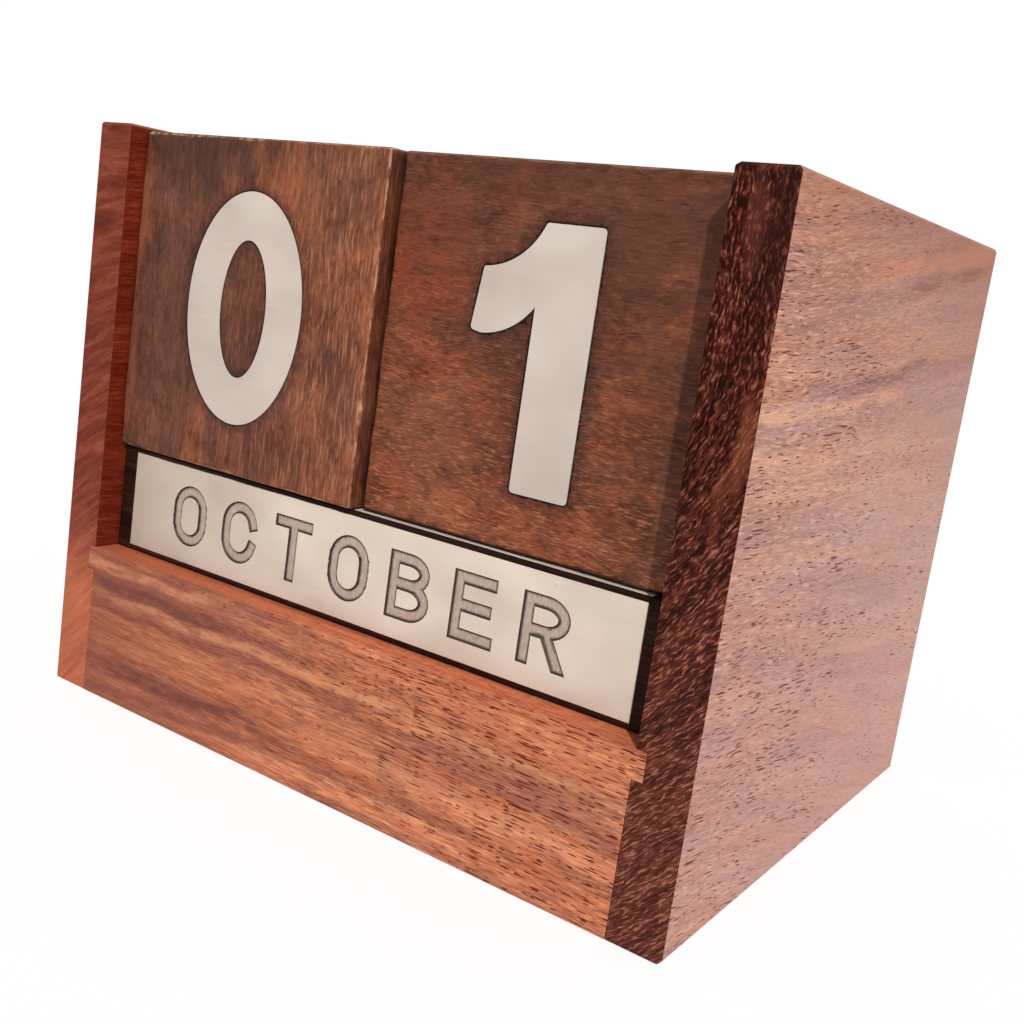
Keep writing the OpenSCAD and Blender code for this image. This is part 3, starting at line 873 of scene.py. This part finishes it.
def plate_mesh(name, length, height, thickness, text):
    """A plate seen from the front, its face at depth 0 and its lettering sunk into it."""
    cut = word(text, 0.0)
    floor = word(text, ENGRAVED_RIM)
    inner = word(text, ENGRAVED_RIM + DARK_BAND_WIDTH)
    face_edge = rectangle(length - 2 * PLATE_EASE, height - 2 * PLATE_EASE)
    outlines = [rectangle(length, height), face_edge] + cut + floor + inner
    flat, faces, _ = filled(outlines, PLATE_POINT)
    centres = [sum((flat[v] for v in face), Vector((0, 0))) / len(face) for face in faces]
    kinds = [FLOOR_FACE if covered(c, floor) else WALL_FACE if covered(c, cut) else 0 for c in centres]
    low = {v for face, kind in zip(faces, kinds) if kind == FLOOR_FACE for v in face}
    stroke_middle = {v for face, centre in zip(faces, centres) if covered(centre, inner) for v in face}
    mesh = bmesh.new()
    edge_dark = mesh.verts.layers.float.new("edge_dark")
    verts = []
    for i, p in enumerate(flat):
        depth = ENGRAVED_DEPTH if i in low else 0.0
        if abs(p.x) > length / 2 - MM or abs(p.y) > height / 2 - MM:
            depth = PLATE_EASE
        verts.append(mesh.verts.new((p.x * MM, depth * MM, p.y * MM)))
        verts[-1][edge_dark] = 0.0 if i in stroke_middle else 1.0
    for face, kind in zip(faces, kinds):
        mesh.faces.new([verts[v] for v in face]).material_index = kind
    close_back(mesh, thickness * MM)
    return mesh_data(mesh, name)


def month_plate(number, materials):
    """Plate number (from 1) on its bar: four plates to a bar, each on its own face."""
    bar, face = divmod(number - 1, len(BAR_TURNS))
    low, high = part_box(BAR_NAMES[bar])
    middle = (low + high) / 2
    node = "month_plate_%02d" % number
    thickness, height, length = sorted(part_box(node)[1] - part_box(node)[0])
    data = plate_mesh(node + "_engraved", length / MM, height / MM, thickness / MM, MONTHS[number - 1])
    to_face = Matrix.Translation((0, -(high.z - low.z) / 2, 0))
    turn = Matrix.Rotation(math.radians(BAR_TURNS[face]), 4, "X")
    data.transform(Matrix.Translation(middle) @ turn @ to_face)
    for material in materials:
        data.materials.append(material)
    piece = in_scene(node + "_engraved", data)
    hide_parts(node)
    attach(piece, BAR_BODIES[bar])


# ------ date blocks

BLOCK_EASE = 0.5
EASE_STEPS = 3
EDGE_CUTS = 70
EDGE_WEAR = 0.16
WEAR_WAVES = ((160, 0.3), (900, -0.15))  # the wear's two patterns: waves per metre, and level
ON_EASE = (0.0001, BLOCK_EASE + 0.01)  # how far below a face the points of an eased edge are
SUPPORT = 0.16  # from the wear to the first row of points on a flat
GRID = 1.3
GRID_EDGE = 0.6  # width that the grid leaves free at the eased edges
CLEAR = 0.28  # and round the pockets
BLOCK_POINT = 1e-5  # points of a flat nearer than this are one
NO_RIM = 0.05  # metres, and far from any digit
SAME_PLACE = 1e-6  # metres; points of a solid nearer than this are one
SMOOTH_ANGLE = 40


def boundary_loops(faces):
    """Closed loops of vertices round a set of faces."""
    inside = set(faces)
    after = {}
    for face in faces:
        for loop in face.loops:
            if not any(f in inside and f is not face for f in loop.edge.link_faces):
                after[loop.vert] = loop.link_loop_next.vert
    loops = []
    while after:
        start, vert = after.popitem()
        found = [start]
        while vert is not start:
            found.append(vert)
            vert = after.pop(vert)
        loops.append(found)
    return loops


def distance_to(points, loops):
    """Distance of each 2D point from the nearest segment of closed loops."""
    best = np.full(len(points), 1.0)
    for loop in loops:
        start = np.array(loop)
        along = np.roll(start, -1, axis=0) - start
        for a, d in zip(start, along):
            share = np.clip((points - a) @ d / (d @ d), 0, 1)
            best = np.minimum(best, np.linalg.norm(points - a - share[:, None] * d, axis=1))
    return best


def worn_cube(middle, half):
    """A cube with rounded, slightly uneven edges. Its six flats are single faces."""
    mesh = bmesh.new()
    bmesh.ops.create_cube(mesh, size=2 * half)
    bmesh.ops.bevel(mesh, geom=mesh.edges[:], offset=BLOCK_EASE * MM, segments=EASE_STEPS, profile=0.5,
                    affect="EDGES")
    long_edges = [e for e in mesh.edges if e.calc_length() > half]
    bmesh.ops.subdivide_edges(mesh, edges=long_edges, cuts=EDGE_CUTS)
    for vert in mesh.verts:
        wear = 0.0
        for waves, level in WEAR_WAVES:
            wear += EDGE_WEAR * MM * max(0.0, level + noise.noise((vert.co + middle) * waves))
        for a in range(3):
            below = (half - abs(vert.co[a])) / MM
            if ON_EASE[0] < below < ON_EASE[1]:
                vert.co[a] -= math.copysign(wear, vert.co[a])
    return mesh


def pocket_outlines(solid, middle, half, axis, level):
    """Outlines of the pockets in one flat of the solid block, from the block's middle."""
    u, v = (axis + 1) % 3, (axis + 2) % 3
    own = [f for f in solid.faces
           if all(abs(p.co[axis] - middle[axis] - level) < SAME_PLACE for p in f.verts)]
    loops = [[(p.co[u] - middle[u], p.co[v] - middle[v]) for p in loop]
             for loop in boundary_loops(own)]
    return [anticlockwise(p) for p in loops if max(max(map(abs, c)) for c in p) < half - MM]


def flat_points(pockets, half):
    """Points on a flat: a row along its eased edges, and a grid clear of them and the pockets."""
    inset = half - (BLOCK_EASE + EDGE_WEAR + SUPPORT) * MM
    steps = np.linspace(-inset, inset, EDGE_CUTS)[:-1]
    row = [(s, -inset) for s in steps] + [(inset, s) for s in steps]
    row += [(-s, inset) for s in steps] + [(-inset, -s) for s in steps]
    steps = np.arange(-half + GRID * MM, half - GRID * MM / 2, GRID * MM)
    grid = np.array([(u + (j % 2) * GRID * MM / 2, v) for j, v in enumerate(steps) for u in steps])
    grid = grid[np.abs(grid).max(axis=1) < half - (BLOCK_EASE + GRID_EDGE) * MM]
    return row + [tuple(p) for p in grid[distance_to(grid, pockets) > CLEAR * MM]]


def fill_flat(skin, rim, outer, pockets, half, axis, level):
    """Covers a flat between its outline and the pockets, and notes how near these are."""
    outlines = [[Vector(p) / MM for p in loop] for loop in [outer] + pockets]
    others = [Vector(p) / MM for p in flat_points(pockets, half)]
    flat, faces, owners = filled(outlines, BLOCK_POINT, others)
    places = np.array([(p.x, p.y) for p in flat]) * MM
    verts = []
    for place, distance in zip(places, distance_to(places, pockets)):
        co = Vector((0, 0, 0))
        co[axis], co[(axis + 1) % 3], co[(axis + 2) % 3] = level, place[0], place[1]
        verts.append(skin.verts.new(co))
        verts[-1][rim] = distance
    for face, around in zip(faces, owners):
        if len(around) % 2:
            skin.faces.new([verts[i] for i in face])


def add_pocket_walls(skin, solid, middle, half):
    """Copies the walls and floors of the pockets."""
    for face in solid.faces:
        reach = sorted(abs(c) for c in face.calc_center_median() - middle)
        if reach[2] < half - 10 * SAME_PLACE and reach[1] < half - MM:
            skin.faces.new([skin.verts.new(p.co - middle) for p in face.verts])


def skin_mesh(node, middle, half):
    """A finely divided block about the origin that knows how near each digit is."""
    solid = bmesh.new()
    solid.from_mesh(node.data)
    bmesh.ops.remove_doubles(solid, verts=solid.verts, dist=SAME_PLACE)
    skin = worn_cube(middle, half)
    rim = skin.verts.layers.float.new("rim")
    for vert in skin.verts:
        vert[rim] = NO_RIM
    flats = [f for f in skin.faces if len(f.verts) > 4 * EDGE_CUTS]
    for axis in range(3):
        for level in (-half, half):
            pockets = pocket_outlines(solid, middle, half, axis, level)
            flat = next(f for f in flats if all(abs(p.co[axis] - level) < SAME_PLACE for p in f.verts))
            outer = anticlockwise([(p.co[(axis + 1) % 3], p.co[(axis + 2) % 3]) for p in flat.verts])
            fill_flat(skin, rim, outer, pockets, half, axis, level)
    bmesh.ops.delete(skin, geom=flats, context="FACES_ONLY")
    add_pocket_walls(skin, solid, middle, half)
    solid.free()
    bmesh.ops.remove_doubles(skin, verts=skin.verts, dist=2 * SAME_PLACE)
    bmesh.ops.delete(skin, geom=[v for v in skin.verts if not v.link_faces], context="VERTS")
    bmesh.ops.recalc_face_normals(skin, faces=skin.faces)
    return skin


def block_skin(name, body, material):
    """Replaces a date block by one with worn edges, of the same size."""
    low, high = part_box(name)
    middle = (low + high) / 2
    data = mesh_data(skin_mesh(nodes[name], middle, (high.x - low.x) / 2), name + "_worn")
    data.transform(Matrix.Translation(middle))
    data.shade_smooth()
    data.set_sharp_from_angle(angle=math.radians(SMOOTH_ANGLE))
    data.materials.append(material)
    piece = in_scene(name + "_worn", data)
    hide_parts(name)
    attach(piece, body)


# ------ dressed nodes

PANEL_EASE = 0.12
RAIL_EASE = 0.1
BOARD_EASE = 0.15
DIGIT_EASE = 0.06
BEVEL_STEPS = 2
BEVEL_ANGLE = 30


def dress(name, material, round_off=0.0):
    """Gives a CAD node its material, and rounds its sharp edges where asked."""
    piece = nodes[name]
    for place in piece.material_slots:
        place.material = material
    if round_off:
        weld = piece.modifiers.new("weld", "WELD")
        weld.merge_threshold = SAME_PLACE
        bevel = piece.modifiers.new("bevel", "BEVEL")
        bevel.width = round_off * MM
        bevel.segments = BEVEL_STEPS
        bevel.limit_method = "ANGLE"
        bevel.angle_limit = math.radians(BEVEL_ANGLE)
        bevel.harden_normals = True


left_panel = panel_finish("left_panel_wood", -1, edge_streaks, LEFT_STREAKS, 2)
right_panel = panel_finish("right_panel_wood", 1, end_grain, RIGHT_STREAKS, 1)
dress("left_side_panel", left_panel, PANEL_EASE)
dress("right_side_panel", right_panel, PANEL_EASE)
dress("front_rail", rail_finish(), RAIL_EASE)
dress("floor_board", board_finish("floor_wood", INNER_WARM, INNER_COOL, 3))
dress("partition_board", board_finish("partition_wood", RAIL_WARM, RAIL_COOL, 4), BOARD_EASE)
dress("back_board", board_finish("back_wood", PANEL_WARM, PANEL_COOL, 6), BOARD_EASE)
left_wood = block_finish("left_block_wood", "left_date_block", "z", LEFT_BLOCK, 7)
right_wood = block_finish("right_block_wood", "right_date_block", "x", RIGHT_BLOCK, 8)
block_skin("left_date_block", "left_block", left_wood)
block_skin("right_date_block", "right_block", right_wood)
bar_wood = bar_finish()
for bar in BAR_NAMES:
    dress(bar, bar_wood, RAIL_EASE)
digit_metal = metal_finish("digit_metal", DIGIT_TONES, 1)
for name in nodes:
    if "_digit_" in name:
        dress(name, digit_metal, DIGIT_EASE)
plate_metal = metal_finish("plate_metal", PLATE_TONES, 2, left_shade=0.55)
letter_floor = engraving_finish("letter_floor", FLOOR_TONES, 1)
letter_wall = engraving_finish("letter_wall", WALL_TONES, 2)
for number in range(1, len(MONTHS) + 1):
    month_plate(number, [plate_metal, letter_floor, letter_wall])


# ------ stage
# Lengths in this part are in metres.

VIEW_ANGLES = (34.56, 9.72, 7.83)  # azimuth, elevation and roll
VIEW_TARGET = Vector((-0.00266, -0.0001, 0.0508))
VIEW_OFFSET = (-0.00805, -0.00506)
VIEW_DISTANCE = 0.22578
IMAGE_SIDE = 1024  # pixels, as are the next two
FOCAL_LENGTH = 1206.9
IMAGE_CENTRE = (462.3, 483.3)
SENSOR = 36.0  # millimetres
CLIP_START = 0.01
KEY_FROM = Vector((0.497, -0.592, 0.635))
KEY_ENERGY = 3.0
KEY_ANGLE = 2.2
FILL_LIGHT = 0.42
FLOOR_RADIUS = 6.0
FLOOR_SIDES = 64
FLOOR_DROP = 0.0001
FLOOR_WHITE = 0.99
FLOOR_GLOW = 0.75  # share of plain white in the floor where it is seen


def make_camera():
    """Camera at the photograph's angle, with its roll and lens shift."""
    az, el, roll = (math.radians(a) for a in VIEW_ANGLES)
    back = Vector((math.sin(az) * math.cos(el), -math.cos(az) * math.cos(el), math.sin(el)))
    right = (-back).cross(Vector((0, 0, 1))).normalized()
    up = right.cross(-back)
    turned_right = right * math.cos(roll) + up * math.sin(roll)
    turned_up = up * math.cos(roll) - right * math.sin(roll)
    data = bpy.data.cameras.new("camera")
    data.sensor_width = SENSOR
    data.lens = FOCAL_LENGTH / IMAGE_SIDE * SENSOR
    data.shift_x = (IMAGE_SIDE / 2 - IMAGE_CENTRE[0]) / IMAGE_SIDE
    data.shift_y = (IMAGE_CENTRE[1] - IMAGE_SIDE / 2) / IMAGE_SIDE
    data.clip_start = CLIP_START
    camera = in_scene("camera", data)
    camera.rotation_mode = "QUATERNION"
    camera.rotation_quaternion = Matrix((turned_right, turned_up, back)).transposed().to_quaternion()
    camera.location = VIEW_TARGET + back * VIEW_DISTANCE + right * VIEW_OFFSET[0] + up * VIEW_OFFSET[1]
    bpy.context.scene.camera = camera


def make_key_light():
    """Key light from the right, in front and above."""
    data = bpy.data.lights.new("key", "SUN")
    data.energy = KEY_ENERGY
    data.angle = math.radians(KEY_ANGLE)
    light = in_scene("key", data)
    light.rotation_mode = "QUATERNION"
    light.rotation_quaternion = KEY_FROM.to_track_quat("Z", "Y")


def make_world():
    """White surroundings: full white where they are seen, and softer as fill light."""
    world = bpy.data.worlds.new("studio")
    bpy.context.scene.world = world
    tree = Tree(world)
    path = tree.node("LightPath").outputs
    seen = tree.largest(path["Is Camera Ray"], path["Is Glossy Ray"], path["Is Transmission Ray"])
    background = world.node_tree.nodes["Background"]
    background.inputs["Color"].default_value = (1, 1, 1, 1)
    tree.feed(background.inputs["Strength"], tree.spread(seen, 0, 1, FILL_LIGHT, 1.0))


def make_floor():
    """Plain white floor that keeps a pale shadow of the object."""
    material = bpy.data.materials.new("floor_white")
    tree = Tree(material)
    material.node_tree.nodes.clear()
    path = tree.node("LightPath").outputs
    seen = tree.largest(path["Is Camera Ray"], path["Is Glossy Ray"])
    share = tree.times(seen, FLOOR_GLOW)
    diffuse = tree.node("BsdfDiffuse", [[FLOOR_WHITE] * 3 + [1]]).outputs[0]
    glow = tree.node("Emission", {"Strength": 1}).outputs[0]
    mixed = tree.node("MixShader", [share, diffuse, glow]).outputs[0]
    tree.node("OutputMaterial", [mixed])
    mesh = bmesh.new()
    bmesh.ops.create_circle(mesh, cap_ends=True, segments=FLOOR_SIDES, radius=FLOOR_RADIUS)
    data = mesh_data(mesh, "floor")
    data.materials.append(material)
    floor = in_scene("floor", data)
    floor.location.z = -FLOOR_DROP


make_camera()
make_key_light()
make_world()
make_floor()
bpy.context.scene.view_settings.view_transform = "Standard"

bpy.context.view_layer.update()
